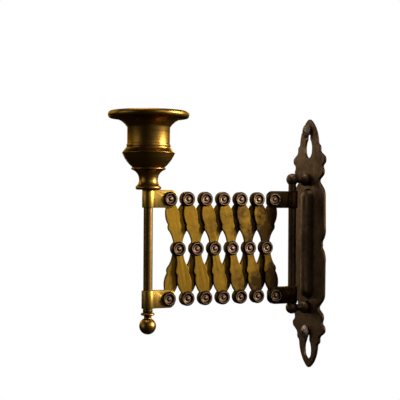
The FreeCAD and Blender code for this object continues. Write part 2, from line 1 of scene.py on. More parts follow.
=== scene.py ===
"""Looks for a candle wall sconce on a lazy-tongs arm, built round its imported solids."""
import logging
import math
from collections.abc import Iterable, Sequence
from dataclasses import dataclass, field
from enum import Enum

import bmesh
import bpy
from mathutils import Matrix, Vector


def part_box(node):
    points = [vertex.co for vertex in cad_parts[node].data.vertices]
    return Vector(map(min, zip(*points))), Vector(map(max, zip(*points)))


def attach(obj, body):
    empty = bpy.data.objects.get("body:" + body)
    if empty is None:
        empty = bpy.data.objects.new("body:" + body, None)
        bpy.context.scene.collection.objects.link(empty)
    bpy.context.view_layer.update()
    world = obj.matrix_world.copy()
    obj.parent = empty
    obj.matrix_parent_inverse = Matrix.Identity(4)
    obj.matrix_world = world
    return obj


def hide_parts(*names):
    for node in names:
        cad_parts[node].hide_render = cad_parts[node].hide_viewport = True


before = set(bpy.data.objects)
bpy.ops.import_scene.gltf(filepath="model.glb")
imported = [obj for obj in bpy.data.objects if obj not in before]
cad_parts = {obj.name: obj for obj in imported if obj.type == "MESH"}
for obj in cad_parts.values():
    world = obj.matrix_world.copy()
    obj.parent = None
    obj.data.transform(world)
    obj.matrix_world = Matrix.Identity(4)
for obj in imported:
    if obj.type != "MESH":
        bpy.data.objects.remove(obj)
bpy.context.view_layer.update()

MM = 0.001
MERGE = 0.001 * MM
ARC_STEP = math.radians(5.0)
CREASE = math.radians(38.0)
LINK_LEAN = 11.0
CELLS = 6
X_AXIS, Y_AXIS, Z_AXIS = (Vector(row) for row in Matrix.Identity(3))
LOG = logging.getLogger("sconce")

Triple = tuple[float, float, float]
Colour = Triple
Span = tuple[float, float]
Corner = tuple[float, ...]
Outline = tuple[Corner, ...]
Socket = bpy.types.NodeSocket
Mesh = bmesh.types.BMesh
Vertex = bmesh.types.BMVert
Edge = bmesh.types.BMEdge


class Grain(Enum):
    """Which way the brush marks of a finish run."""

    NONE = "none"
    UPRIGHT = "upright"
    FRONT_LINK = "front link"
    REAR_LINK = "rear link"
    ROUND = "round"


@dataclass(frozen=True)
class Noise:
    """One kind of cloudy noise.

    Args:
        scale: Features per unit of the coordinates.
        detail: How many finer layers it has.
        roughness: How strong the finer layers are.
    """

    scale: float
    detail: float
    roughness: float


@dataclass(frozen=True)
class Shelter:
    """How a point looks round on its own piece.

    Args:
        reach: How far it looks, in metres.
        span: Openness at which its value starts, and at which it is greatest.
        inside: Whether it looks into the metal instead of out of it.
    """

    reach: float
    span: Span
    inside: bool


# How tarnish, mottling, wear and brush marks spread on every finish, with the painted shade in crevices and
# towards the wall
MOTTLE = Noise(scale=380.0, detail=4.0, roughness=0.65)
MOTTLE_SPAN: Span = (0.35, 0.75)
MOTTLE_SHARE: Span = (-0.08, 0.16)
CLOUDS = Noise(scale=48.0, detail=5.0, roughness=0.62)
CLOUD_SPAN: Span = (0.36, 0.66)
MARKS = Noise(scale=1.0, detail=3.0, roughness=0.6)
MARKS_ALONG: Triple = (900.0, 900.0, 40.0)
MARKS_ROUND: Triple = (60.0, 60.0, 1400.0)
MARK_SPAN: Span = (0.3, 0.7)
MARK_MATT: Span = (-0.05, 0.07)
MARK_DEPTH = 0.12 * MM
TARNISH_MATT = 0.14
# Span from the room to the wall over which the painted shade towards the wall grows
WALL_SHADE_SPAN: Span = (-84 * MM, -28 * MM)
# Painted shade in corners and grooves, from how far the piece shuts a point in
CREVICE_SHADE = Shelter(reach=2.5 * MM, span=(0.95, 0.45), inside=False)
EDGE = Shelter(reach=0.35 * MM, span=(0.85, 0.45), inside=True)
SHELTER_SAMPLES = 8
WHITE: Colour = (1.0, 1.0, 1.0)


@dataclass(frozen=True)
class AgedBrass:
    """Brass that was rubbed bright once and has tarnished since, with painted shade in its crevices and
    towards the wall.

    Args:
        name: Name of the material.
        slot: Material slot of the record; not used.
        bright: Colour of the rubbed metal.
        tarnish: Colour of the tarnish that lies over it.
        cover: Share of the surface that the tarnish clouds cover.
        crevice_shade: How dark the painted shade in corners and grooves is, drawn in the tarnish colour.
        roughness: Roughness of the rubbed metal.
        wear: How far the edges are rubbed bright again.
        wall_shade: How much darker the metal is painted towards the wall, as painted shade in the tarnish
            colour.
        grain: Which way the brush marks run.
        glance: Tint of what it reflects at a low angle.
        brush: How strongly the brush marks show.
    """

    name: str
    slot: str
    bright: Colour
    tarnish: Colour
    cover: float
    crevice_shade: float
    roughness: float
    wear: float = 0.5
    wall_shade: float = 0.0
    grain: Grain = Grain.NONE
    glance: Colour = (1.0, 0.8, 0.5)
    brush: float = 0.12

    def material(self) -> bpy.types.Material:
        """Build the material, or hand over the one that was built before.

        Returns:
            The material with its nodes.
        """
        found = bpy.data.materials.get(self.name)
        if found:
            return found
        made = bpy.data.materials.new(self.name)
        made.use_nodes = True
        graph = NodeGraph(made.node_tree)
        coords = graph.add("ShaderNodeTexCoord").outputs["Object"]
        mottle = graph.noise(coords, MOTTLE)
        marks = self.brush_marks(graph, coords, mottle)
        cover = self.covered(graph, coords, mottle)
        shader = made.node_tree.nodes["Principled BSDF"]
        shader.inputs["Metallic"].default_value = 1.0
        shader.inputs["Specular Tint"].default_value = (*self.glance, 1.0)
        graph.link(graph.mix(self.bright, self.tarnish, cover), shader.inputs["Base Color"])
        matt = graph.math("ADD", graph.remap(marks, MARK_SPAN, MARK_MATT),
                          graph.remap(cover, (0.0, 1.0), (self.roughness, self.roughness + TARNISH_MATT)))
        graph.link(matt, shader.inputs["Roughness"])
        graph.link(graph.bump(marks, self.brush), shader.inputs["Normal"])
        return made

    def covered(self, graph: "NodeGraph", coords: Socket, mottle: Socket) -> Socket:
        """Where the tarnish colour lies: tarnish in clouds, painted shade in crevices and towards the wall,
        but not on rubbed edges.

        Args:
            graph: Graph that the nodes go into.
            coords: Object coordinates.
            mottle: Fine mottling.

        Returns:
            Share of the tarnish colour, for tarnish and painted shade, from 0 to 1.
        """
        cover = graph.math("ADD", graph.remap(graph.noise(coords, CLOUDS), CLOUD_SPAN, (0.0, self.cover)),
                           graph.remap(mottle, MOTTLE_SPAN, MOTTLE_SHARE))
        # Painted shade: darker in corners and grooves, where the piece shuts a point in
        cover = graph.math("ADD", cover, graph.shelter(CREVICE_SHADE, self.crevice_shade))
        # Painted shade: darker towards the wall
        if self.wall_shade:
            shade = graph.remap(graph.y_of(coords), WALL_SHADE_SPAN, (0.0, self.wall_shade))
            cover = graph.math("ADD", cover, shade)
        return graph.math("SUBTRACT", cover, graph.shelter(EDGE, self.wear), clamp=True)

    def brush_marks(self, graph: "NodeGraph", coords: Socket, plain: Socket) -> Socket:
        """Fine marks along the grain, or the plain mottling where there is none.

        Args:
            graph: Graph that the nodes go into.
            coords: Object coordinates.
            plain: Mottling without a direction.

        Returns:
            The height of the marks.
        """
        if self.grain is Grain.NONE:
            return plain
        lean = {Grain.FRONT_LINK: LINK_LEAN, Grain.REAR_LINK: -LINK_LEAN}.get(self.grain, 0.0)
        turned = graph.mapping(coords, turn=(-math.radians(lean), 0.0, 0.0))
        along = graph.mapping(turned, scale=MARKS_ROUND if self.grain is Grain.ROUND else MARKS_ALONG)
        return graph.noise(along, MARKS)


@dataclass
class NodeGraph:
    """Short ways to add and join the nodes of one material.

    Args:
        tree: Node tree that the nodes go into.
    """

    tree: bpy.types.NodeTree

    def add(self, kind: str) -> bpy.types.Node:
        """Add one node of a kind."""
        return self.tree.nodes.new(kind)

    def link(self, source: Socket, target: Socket) -> None:
        """Join an output to an input."""
        self.tree.links.new(source, target)

    def noise(self, coords: Socket, kind: Noise) -> Socket:
        """Cloudy noise.

        Args:
            coords: Where the noise is read.
            kind: Which noise it is.

        Returns:
            The noise's value.
        """
        node = self.add("ShaderNodeTexNoise")
        node.inputs["Scale"].default_value = kind.scale
        node.inputs["Detail"].default_value = kind.detail
        node.inputs["Roughness"].default_value = kind.roughness
        self.link(coords, node.inputs["Vector"])
        return node.outputs["Fac"]

    def mapping(self, coords: Socket, turn: Triple = (0.0, 0.0, 0.0),
                scale: Triple = (1.0, 1.0, 1.0)) -> Socket:
        """Coordinates that are turned or stretched.

        Args:
            coords: Coordinates to change.
            turn: Turns about the three axes.
            scale: Stretch along the three axes.

        Returns:
            The changed coordinates.
        """
        node = self.add("ShaderNodeMapping")
        node.inputs["Rotation"].default_value = turn
        node.inputs["Scale"].default_value = scale
        self.link(coords, node.inputs["Vector"])
        return node.outputs["Vector"]

    def y_of(self, coords: Socket) -> Socket:
        """The distance from the wall, below 0 in the room.

        Args:
            coords: Coordinates to read.

        Returns:
            Their Y.
        """
        node = self.add("ShaderNodeSeparateXYZ")
        self.link(coords, node.inputs["Vector"])
        return node.outputs["Y"]

    def remap(self, source: Socket, span: Span, to_span: Span) -> Socket:
        """A value moved from one span to another.

        Args:
            source: Value to move.
            span: Start and end of its span.
            to_span: Start and end of the new span.

        Returns:
            The moved value.
        """
        node = self.add("ShaderNodeMapRange")
        for name, number in zip(("From Min", "From Max", "To Min", "To Max"), span + to_span):
            node.inputs[name].default_value = number
        self.link(source, node.inputs["Value"])
        return node.outputs["Result"]

    def math(self, how: str, first: Socket, second: Socket, clamp: bool = False) -> Socket:
        """Two values brought together.

        Args:
            how: Operation of the node.
            first: First value.
            second: Second value.
            clamp: Whether the result stays between 0 and 1.

        Returns:
            The result.
        """
        node = self.add("ShaderNodeMath")
        node.operation = how
        node.use_clamp = clamp
        self.link(first, node.inputs[0])
        self.link(second, node.inputs[1])
        return node.outputs["Value"]

    def shelter(self, kind: Shelter, most: float) -> Socket:
        """How far a point is shut in by its own piece.

        Args:
            kind: Crevice shade, which looks out of the metal, or edge, which looks into it.
            most: Value where it is shut in the most.

        Returns:
            A value that is 0 in the open.
        """
        node = self.add("ShaderNodeAmbientOcclusion")
        node.only_local = True
        node.inside = kind.inside
        node.samples = SHELTER_SAMPLES
        node.inputs["Distance"].default_value = kind.reach
        return self.remap(node.outputs["AO"], kind.span, (0.0, most))

    def mix(self, first: Colour, second: Colour, share: Socket) -> Socket:
        """A colour between two.

        Args:
            first: Colour at 0.
            second: Colour at 1.
            share: Where it lies between them.

        Returns:
            The mixed colour.
        """
        node = self.add("ShaderNodeMix")
        node.data_type = "RGBA"
        for socket, tint in ((node.inputs[6], first), (node.inputs[7], second)):
            socket.default_value = (*tint, 1.0)
        self.link(share, node.inputs["Factor"])
        return node.outputs[2]

    def bump(self, marks: Socket, strength: float) -> Socket:
        """A normal that follows the height of some marks.

        Args:
            marks: Height of the marks.
            strength: Strength of the node.

        Returns:
            The bumped normal.
        """
        node = self.add("ShaderNodeBump")
        node.inputs["Strength"].default_value = strength
        node.inputs["Distance"].default_value = MARK_DEPTH
        self.link(marks, node.inputs["Height"])
        return node.outputs["Normal"]


# The crevice numbers below paint shade in corners and grooves, and the wall_shade numbers paint shade towards
# the wall
DARK = AgedBrass("plate_finish", "dark_brass", (0.16, 0.095, 0.05), (0.034, 0.018, 0.01),
                 cover=0.7, crevice_shade=0.6, roughness=0.46, glance=(0.85, 0.7, 0.56))
# Darker copy of the plate's finish that paints shade on the walls of its edges and holes
PLATE_WALL_SHADE = AgedBrass("plate_wall_painted_shade", "dark_brass", (0.04, 0.022, 0.011), (0.012, 0.006, 0.003),
                      cover=0.6, crevice_shade=0.6, roughness=0.5, glance=(0.5, 0.36, 0.25))
DARK_ROD = AgedBrass("rear_rod_finish", "dark_brass", (0.125, 0.073, 0.032), (0.025, 0.013, 0.007),
                     cover=0.7, crevice_shade=0.6, roughness=0.4, grain=Grain.ROUND, glance=(0.85, 0.7, 0.56))
CUP = AgedBrass("cup_finish", "cup_brass", (0.27, 0.138, 0.024), (0.05, 0.022, 0.007),
                cover=0.3, crevice_shade=0.7, roughness=0.33, wear=0.2, grain=Grain.ROUND,
                glance=(0.6, 0.45, 0.28), brush=0.02)
ROD = AgedBrass("rod_finish", "cup_brass", (0.12, 0.066, 0.018), (0.03, 0.015, 0.006),
                cover=0.4, crevice_shade=0.5, roughness=0.46, grain=Grain.UPRIGHT,
                glance=(0.75, 0.55, 0.3), brush=0.03)
RIVET = AgedBrass("rivet_finish", "rivet_brass", (0.34, 0.21, 0.115), (0.022, 0.011, 0.007),
                  cover=0.4, crevice_shade=1.0, roughness=0.36, wear=0.9, glance=(0.8, 0.6, 0.45))
# Darker copy of the rivets' finish that paints shade on the side walls of their heads
RIVET_WALL_SHADE = AgedBrass("rivet_wall_painted_shade", "rivet_brass", (0.06, 0.034, 0.02), (0.014, 0.007, 0.004),
                       cover=0.7, crevice_shade=0.8, roughness=0.42, wear=0.2, glance=(0.7, 0.5, 0.38))
CLIP = AgedBrass("clip_finish", "clip_brass", (0.33, 0.186, 0.03), (0.03, 0.014, 0.006),
                 cover=0.45, crevice_shade=1.4, roughness=0.38, wall_shade=0.8, grain=Grain.UPRIGHT)
FRONT_LINK = AgedBrass("front_link_finish", "link_brass", (0.42, 0.22, 0.02), (0.036, 0.018, 0.005),
                       cover=0.5, crevice_shade=0.7, roughness=0.36, wall_shade=0.75, grain=Grain.FRONT_LINK)
REAR_LINK = AgedBrass("rear_link_finish", "link_brass", (0.38, 0.2, 0.02), (0.034, 0.017, 0.005),
                      cover=0.55, crevice_shade=0.7, roughness=0.38, wall_shade=0.75, grain=Grain.REAR_LINK)
# Darker copy of the links' finish that paints shade on their side walls
LINK_WALL_SHADE = AgedBrass("link_wall_finish", "link_brass", (0.075, 0.038, 0.012), (0.014, 0.007, 0.003),
                      cover=0.7, crevice_shade=0.6, roughness=0.5)
SCREW = AgedBrass("screw_finish", "screw_brass", (0.32, 0.225, 0.175), (0.06, 0.036, 0.025),
                  cover=0.5, crevice_shade=0.9, roughness=0.45)


@dataclass(frozen=True)
class Plane:
    """A plane to draw on: millimetres across and up from an origin.

    Args:
        origin: Where both numbers are 0, in metres.
        across: Direction of the first number.
        up: Direction of the second number.
    """

    origin: Vector
    across: Vector
    up: Vector

    @property
    def front(self) -> Vector:
        """Direction that the plane faces."""
        return self.across.cross(self.up)

    def spot(self, x: float, y: float) -> Vector:
        """Point of the model at two numbers on the plane."""
        return self.origin + (self.across * x + self.up * y) * MM


@dataclass
class Trace:
    """Draws chains of lines and arcs on a plane of a mesh.

    A corner is (x, y) where a line leads to it, or (x, y, bow) where an arc does. The
    bow is the arc's rise over half its chord, above 0 where the arc turns left.

    Args:
        shape: Mesh that the chains go into.
        plane: Plane that they lie on.
    """

    shape: Mesh
    plane: Plane

    def chain(self, corners: Sequence[Corner], closed: bool = False) -> list[Edge]:
        """Draw one chain.

        Args:
            corners: Its corners in order.
            closed: Whether it runs back to its first corner.

        Returns:
            The new edges.
        """
        old = set(self.shape.edges)
        at = corners[0]
        first = bmesh.ops.create_vert(self.shape, co=self.plane.spot(*at[:2]))["vert"][0]
        last = first
        for corner in list(corners[1:]) + ([at] if closed else []):
            last = self.arc(last, at, corner) if len(corner) == 3 else self.line(last, corner)
            at = corner
        if closed:
            bmesh.ops.weld_verts(self.shape, targetmap={last: first})
        return [edge for edge in self.shape.edges if edge not in old]

    def line(self, start: Vertex, corner: Corner) -> Vertex:
        """Draw a line from a vertex to a corner and hand over the vertex there.

        Args:
            start: Vertex at the line's start.
            corner: Corner at its end.

        Returns:
            The vertex at its end.
        """
        end = bmesh.ops.extrude_vert_indiv(self.shape, verts=[start])["verts"][0]
        end.co = self.plane.spot(*corner[:2])
        return end

    def arc(self, start: Vertex, at: Corner, corner: Corner) -> Vertex:
        """Sweep a vertex along an arc.

        Args:
            start: Vertex at the arc's start.
            at: Corner at the arc's start.
            corner: Corner at its end, with the bow.

        Returns:
            The vertex at its end.
        """
        half = (Vector(corner[:2]) - Vector(at[:2])) / 2
        bow = corner[2]
        centre = Vector(at[:2]) + half + half.orthogonal() * (1 - bow ** 2) / (2 * bow)
        turn = 4 * math.atan(bow)
        swept = bmesh.ops.spin(self.shape, geom=[start], cent=self.plane.spot(*centre), axis=self.plane.front,
                               angle=turn, steps=max(3, round(abs(turn) / ARC_STEP)), use_duplicate=False)
        return vertices(swept["geom_last"])[0]


def bow_of(degrees: float) -> float:
    """Bow of an arc that turns through some degrees."""
    return math.tan(math.radians(degrees) / 4)


def reflected(chain: Sequence[Corner], flip_x: int, flip_y: int) -> list[Corner]:
    """A chain seen in a mirror and run backwards, without the corner that both share.

    Args:
        chain: Chain to reflect.
        flip_x: -1 to reflect left and right, or else 1.
        flip_y: -1 to reflect up and down, or else 1.

    Returns:
        The corners that follow the chain's last one.
    """
    pairs = zip(chain[-2::-1], chain[:0:-1])
    return [(corner[0] * flip_x, corner[1] * flip_y, *after[2:]) for corner, after in pairs]


def ring(x: float, y: float, radius: float) -> list[Corner]:
    """Corners of a full circle."""
    return [(x + radius, y, 1.0), (x - radius, y, 1.0)]


def whole_outline(quarter: Sequence[Corner]) -> list[Corner]:
    """Corners of a closed outline that is the same in all four quarters.

    Args:
        quarter: Its upper right quarter, from the right to the top.

    Returns:
        The whole outline.
    """
    half = list(quarter) + reflected(quarter, -1, 1)
    loop = half + reflected(half, 1, -1)
    loop[0] = loop.pop()
    return loop


def vertices(items: Iterable[object]) -> list[Vertex]:
    """The vertices among what an operator handed over."""
    return [item for item in items if isinstance(item, Vertex)]


def open_edges(shape: Mesh) -> list[Edge]:
    """The edges of a mesh that only one face meets."""
    return [edge for edge in shape.edges if edge.is_boundary]


def box_of(node: str) -> tuple[Vector, Vector]:
    """The lowest and the highest corner of a solid."""
    low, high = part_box(node)
    return Vector(low), Vector(high)


def join(target: Mesh, extra: Mesh) -> None:
    """Add one mesh to another and use it up.

    Args:
        target: Mesh that is added to.
        extra: Mesh to add, which is used up.
    """
    mesh = bpy.data.meshes.new("joined")
    extra.to_mesh(mesh)
    extra.free()
    target.from_mesh(mesh)
    bpy.data.meshes.remove(mesh)


def plain_object(name: str, shape: Mesh) -> bpy.types.Object:
    """An object at the origin made of a mesh, which is used up.

    Args:
        name: Name of the object.
        shape: Its mesh.

    Returns:
        The object.
    """
    mesh = bpy.data.meshes.new(name)
    shape.to_mesh(mesh)
    shape.free()
    made = bpy.data.objects.new(name, mesh)
    bpy.context.scene.collection.objects.link(made)
    return made


@dataclass
class Workshop:
    """Makes meshes by turning, cutting out and easing, as the real pieces are made.

    Args:
        segments: Steps of a full turn.
        ease_width: Width of a broken edge, in millimetres.
        ease_steps: Steps across a broken edge.
        sharp: Angle from which an edge is broken.
    """

    segments: int = 96
    ease_width: float = 0.15
    ease_steps: int = 2
    sharp: float = math.radians(32.0)

    def turn(self, plane: Plane, corners: Sequence[Corner], closed: bool = False) -> Mesh:
        """Turn a profile about the upward line through a plane's origin.

        Args:
            plane: Plane of the profile, radius across and height up.
            corners: The profile.
            closed: Whether it runs back to its first corner, as round a bore.

        Returns:
            The turned mesh.
        """
        shape = bmesh.new()
        Trace(shape, plane).chain(corners, closed)
        bmesh.ops.spin(shape, geom=shape.verts[:] + shape.edges[:], cent=plane.origin, axis=plane.up,
                       angle=math.tau, steps=self.segments, use_merge=True)
        return self.closed(shape)

    def cut_out(self, plane: Plane, outline: Sequence[Corner], holes: Sequence[Sequence[Corner]],
                thick: float, bevel: float, both_sides: bool) -> Mesh:
        """Cut a sheet to an outline with holes in it and bevel its edge.

        Args:
            plane: Plane of the sheet's front.
            outline: Closed outline.
            holes: Closed outlines of the holes.
            thick: Thickness of the sheet.
            bevel: Width of the bevel along the outline.
            both_sides: Whether the back is bevelled as the front is.

        Returns:
            The mesh of the sheet.
        """
        shape = bmesh.new()
        trace = Trace(shape, plane)
        rim = trace.chain(outline, closed=True)
        rim_corners = {corner for edge in rim for corner in edge.verts}
        face = bmesh.ops.contextual_create(shape, geom=rim)["faces"][0]
        bmesh.ops.inset_region(shape, faces=[face], thickness=bevel * MM, use_boundary=True,
                               use_even_offset=True)
        inner = list(face.edges)
        bmesh.ops.delete(shape, geom=[face], context="FACES_ONLY")
        bmesh.ops.translate(shape, verts=list(rim_corners), vec=plane.front * -bevel * MM)
        for hole in holes:
            inner += trace.chain(hole, closed=True)
        bmesh.ops.triangle_fill(shape, use_beauty=True, edges=inner, normal=plane.front)
        depth = thick / 2 if both_sides else thick
        walls = bmesh.ops.extrude_edge_only(shape, edges=open_edges(shape))
        for foot in vertices(walls["geom"]):
            level = (foot.co - plane.origin).dot(plane.front)
            foot.co -= plane.front * (level + depth * MM)
        if both_sides:
            self.double(shape, plane.origin - plane.front * depth * MM, plane.front)
        else:
            bmesh.ops.triangle_fill(shape, use_beauty=True, edges=open_edges(shape), normal=plane.front)
        return self.closed(shape)

    @staticmethod
    def double(shape: Mesh, middle: Vector, normal: Vector) -> None:
        """Add the mirror image of a mesh in a plane.

        Args:
            shape: Mesh to double.
            middle: Point of the mirror.
            normal: Direction that the mirror faces.
        """
        copy = bmesh.ops.duplicate(shape, geom=shape.verts[:] + shape.edges[:] + shape.faces[:])["geom"]
        flip = Matrix.Translation(middle) @ Matrix.Scale(-1.0, 4, normal) @ Matrix.Translation(-middle)
        bmesh.ops.transform(shape, matrix=flip, verts=vertices(copy))

    @staticmethod
    def closed(shape: Mesh) -> Mesh:
        """Merge what touches in a mesh and turn its faces outwards.

        Args:
            shape: The mesh.

        Returns:
            The same mesh.
        """
        bmesh.ops.remove_doubles(shape, verts=shape.verts, dist=MERGE)
        bmesh.ops.recalc_face_normals(shape, faces=shape.faces)
        return shape

    @staticmethod
    def mark_walls(shape: Mesh, across: Vector, steep: float) -> Mesh:
        """Mark the walls of a flat piece for its second material, a darker copy of its finish that paints
        shade.

        Args:
            shape: Mesh of the piece.
            across: Direction across the piece.
            steep: Angle to that direction from which a face is a wall, in degrees.

        Returns:
            The same mesh.
        """
        shape.normal_update()
        for face in shape.faces:
            face.material_index = int(abs(face.normal.dot(across)) < math.cos(math.radians(steep)))
        return shape

    @staticmethod
    def bevelled(shape: Mesh, edges: Sequence[Edge], width: float, steps: int) -> Mesh:
        """Bevel some edges of a mesh by a width in millimetres."""
        bmesh.ops.bevel(shape, geom=edges, offset=width * MM, offset_type="OFFSET", segments=steps,
                        profile=0.5, affect="EDGES", clamp_overlap=True, material=-1)
        return shape

    def ease(self, shape: Mesh) -> Mesh:
        """Break the sharp edges of a mesh."""
        sharp = [edge for edge in shape.edges if edge.is_manifold and edge.calc_face_angle(0.0) > self.sharp]
        return self.bevelled(shape, sharp, self.ease_width, self.ease_steps)


@dataclass
class SubAssembly:
    """Pieces that ride on one body of the model.

    Args:
        body: Body that the pieces ride on.
        shop: Where their meshes are made.
    """

    body: str
    shop: Workshop = field(default_factory=Workshop)

    def build(self) -> None:
        """Build and dress the pieces."""
        raise NotImplementedError

    def dress(self, node: str, shape: Mesh, *finishes_and_wall_shades: AgedBrass) -> bpy.types.Object:
        """Make a piece of a mesh, give it its finish and let it stand for a solid.

        Args:
            node: Solid that the piece stands for.
            shape: Its mesh, which is used up.
            finishes_and_wall_shades: Its finish, and then the darker copy that paints shade on the faces
                marked as walls.

        Returns:
            The new piece.
        """
        piece = plain_object(f"{node}_finished", shape)
        for finish in finishes_and_wall_shades:
            piece.data.materials.append(finish.material())
        piece.data.shade_smooth()
        piece.data.set_sharp_from_angle(angle=CREASE)
        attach(piece, self.body)
        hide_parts(node)
        LOG.info("%s rides on %s", piece.name, self.body)
        return piece

    @staticmethod
    def axis_plane(node: str, base_z: float | None = None) -> Plane:
        """Plane through the upright axis of a turned solid.

        Args:
            node: The solid.
            base_z: Height of the plane's origin, or None for the solid's lowest point.

        Returns:
            The plane, radius across and height up.
        """
        low, high = box_of(node)
        middle = (low + high) / 2
        middle.z = low.z if base_z is None else base_z
        return Plane(middle, X_AXIS, Z_AXIS)


@dataclass
class RivetHead:
    """Rivet with a ringed and domed head: sizes of the solid, then of the finished rivet, in millimetres."""

    solid_radius: float = 4.3
    solid_height: float = 1.5
    solid_tail: float = 0.8
    shank: float = 1.5
    flange: float = 4.3
    rim: float = 0.3
    ring: float = 3.24
    ring_half: float = 0.2
    ring_top: float = 1.3
    ring_drop: float = 0.08
    ring_ease: float = 0.05
    groove: float = 2.5
    groove_low: float = 0.5
    groove_rise: float = 0.25
    boss: float = 1.5
    dome: float = 0.95
    tail: float = 2.4
    tail_height: float = 0.78
    ease: float = 0.1
    steep: float = 11.0

    def profile(self, grip: float) -> list[Corner]:
        """Profile from the tail's middle to the head's middle.

        Args:
            grip: Thickness of what the rivet holds.

        Returns:
            Corners of radius and height above the head's seat.
        """
        outer, inner = self.ring + self.ring_half, self.ring - self.ring_half
        shoulder = self.ring_top - self.ring_drop
        return [
            (0.0, -grip - self.tail_height),
            (self.tail, -grip - self.ease, 0.3),
            (self.tail, -grip),
            (self.shank, -grip),
            (self.shank, 0.0),
            (self.flange - self.ease, 0.0),
            (self.flange, self.ease, 0.4),
            (self.flange, self.rim),
            (outer + self.ring_ease, shoulder),
            (outer - self.ring_ease, self.ring_top, 0.3),
            (inner + self.ring_ease, self.ring_top),
            (inner - self.ring_ease, shoulder, 0.3),
            (self.groove, self.groove_low + self.groove_rise),
            (self.boss, self.groove_low, -0.1),
            (self.boss - self.ease, self.groove_low + self.ease, -0.2),
            (0.0, self.dome, 0.12),
        ]

    def shape(self, shop: Workshop, node: str, count: int) -> Mesh:
        """Rivets that stand along the diagonal of a solid's box.

        Args:
            shop: Where they are made.
            node: Solid that they stand for.
            count: How many there are.

        Returns:
            Their mesh.
        """
        low, high = box_of(node)
        seat_x = high.x - self.solid_height * MM
        grip = (seat_x - low.x) / MM - self.solid_tail
        edge = self.solid_radius * MM
        first = Vector((seat_x, high.y - edge, low.z + edge))
        last = Vector((seat_x, low.y + edge, high.z - edge))
        made = bmesh.new()
        for index in range(count):
            spot = first.lerp(last, index / (count - 1)) if count > 1 else (first + last) / 2
            join(made, shop.turn(Plane(spot, Y_AXIS, X_AXIS), self.profile(grip)))
        return shop.mark_walls(made, X_AXIS, self.steep)


@dataclass
class CrossScrew:
    """Round-headed wood screw that points along +Y from a point on the wall, in millimetres."""

    head: float = 4.2
    head_low: float = 2.8
    rim: float = 0.7
    crown: float = 1.5
    shank: float = 2.1
    shank_end: float = -0.1
    core: float = 1.5
    tip: float = -5.1
    tip_length: float = 2.2
    thread: float = 1.9
    thread_root: float = 1.4
    thread_middle: float = -0.55
    thread_half: float = 0.35
    thread_turns: int = 2
    thread_steps: int = 24
    pitch: float = 1.2
    cross_length: float = 4.6
    cross_width: float = 1.0
    cross_depth: float = 1.1
    cross_turns: Span = (20.0, 110.0)

    def shape(self, shop: Workshop, spot: Vector) -> Mesh:
        """Turn the screw, cut its cross and wind its thread.

        Args:
            shop: Where it is made.
            spot: Point on the wall that its axis goes through.

        Returns:
            Its mesh.
        """
        plane = Plane(spot, X_AXIS, -Y_AXIS)
        top = self.head_low + self.rim + self.crown
        body = shop.turn(plane, [
            (0.0, self.tip),
            (self.core, self.tip + self.tip_length),
            (self.core, self.shank_end),
            (self.shank, self.shank_end),
            (self.shank, self.head_low),
            (self.head, self.head_low),
            (self.head, self.head_low + self.rim),
            (0.0, top, 0.18),
        ])
        cut = self.crossed(body, spot - Y_AXIS * top * MM)
        join(cut, self.wound(plane))
        return cut

    def crossed(self, body: Mesh, top: Vector) -> Mesh:
        """Cut a cross into the head.

        Args:
            body: Mesh of the screw, which is used up.
            top: Highest point of the head.

        Returns:
            The cut mesh.
        """
        cutter = bmesh.new()
        size = (self.cross_length * MM, 2 * self.cross_depth * MM, self.cross_width * MM)
        for turn in self.cross_turns:
            bar = bmesh.ops.create_cube(cutter, size=1.0)["verts"]
            bmesh.ops.scale(cutter, vec=size, verts=bar)
            bmesh.ops.rotate(cutter, verts=bar, matrix=Matrix.Rotation(math.radians(turn), 3, "Y"))
            bmesh.ops.translate(cutter, vec=top, verts=bar)
        blank = plain_object("screw_blank", body)
        tool = plain_object("cross_cutter", cutter)
        boolean = blank.modifiers.new("cross", "BOOLEAN")
        boolean.operation = "DIFFERENCE"
        boolean.object = tool
        boolean.use_self = True
        made = bmesh.new()
        made.from_object(blank, bpy.context.evaluated_depsgraph_get())
        for helper in (blank, tool):
            bpy.data.objects.remove(helper)
        return made

    def wound(self, plane: Plane) -> Mesh:
        """The thread, swept round the core behind the wall's face.

        Args:
            plane: Plane through the screw's axis.

        Returns:
            Its mesh.
        """
        shape = bmesh.new()
        low, high = self.thread_middle - self.thread_half, self.thread_middle + self.thread_half
        ridge = [(self.thread_root, low), (self.thread, self.thread_middle), (self.thread_root, high)]
        Trace(shape, plane).chain(ridge, closed=True)
        bmesh.ops.contextual_create(shape, geom=shape.edges[:])
        bmesh.ops.spin(shape, geom=shape.verts[:] + shape.edges[:] + shape.faces[:], cent=plane.origin,
                       axis=Y_AXIS, dvec=Y_AXIS * self.pitch * MM / self.thread_steps,
                       angle=self.thread_turns * math.tau, steps=self.thread_turns * self.thread_steps)
        bmesh.ops.recalc_face_normals(shape, faces=shape.faces)
        return shape


